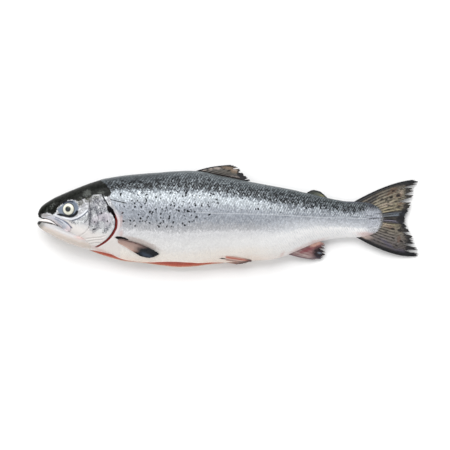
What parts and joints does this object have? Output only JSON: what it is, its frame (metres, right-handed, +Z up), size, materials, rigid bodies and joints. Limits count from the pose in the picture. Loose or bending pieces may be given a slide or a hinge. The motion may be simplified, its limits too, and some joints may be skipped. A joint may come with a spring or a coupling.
{
  "type": "whole raw fish",
  "caption": "Whole raw salmon, gutted, lying on its right side with its left flank up: open mouth, slit belly with pink flesh at the cut, folded fins and a forked tail.",
  "frame": {"origin": "on the table, under the middle of the bounding box", "axes": "+X from the snout to the tail, +Y towards the back, +Z up through the left flank"},
  "size_m": [0.6864, 0.1826, 0.074],
  "materials": {
    "skin": "wet, silvery, dark at the back with black spots, cream at the belly",
    "flesh": "wet raw flesh",
    "eye": "clear wet gloss over a pale ring and a dark pupil"
  },
  "bodies": {
    "root": {"body": "skin", "belly_flesh": "flesh", "eye_left": "eye", "eye_right": "eye"}
  },
  "joints": []
}
